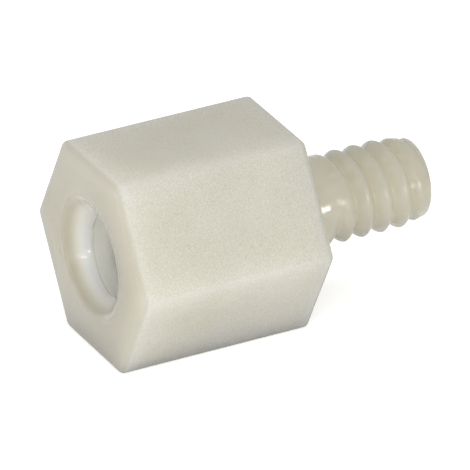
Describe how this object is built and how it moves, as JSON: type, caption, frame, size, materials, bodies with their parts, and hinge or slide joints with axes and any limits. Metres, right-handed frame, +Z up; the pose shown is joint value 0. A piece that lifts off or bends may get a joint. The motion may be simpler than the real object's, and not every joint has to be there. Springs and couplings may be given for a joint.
{
  "type": "hex standoff",
  "caption": "Small moulded nylon hex standoff, lying on a flat: a hexagonal body with a countersunk blind threaded hole in one end and a short threaded stud on the other.",
  "frame": {"origin": "on the thread's axis, in the plane of the shoulder that the stud stands on", "axes": "+X along the axis from the shoulder to the tip of the stud, +Z up from the flat that the piece lies on, +Y across the corners of the hexagon"},
  "size_m": [0.0109, 0.0072, 0.0062],
  "materials": {
    "natural_nylon": "satin"
  },
  "bodies": {
    "root": {"hex_standoff": "natural_nylon"}
  },
  "joints": []
}
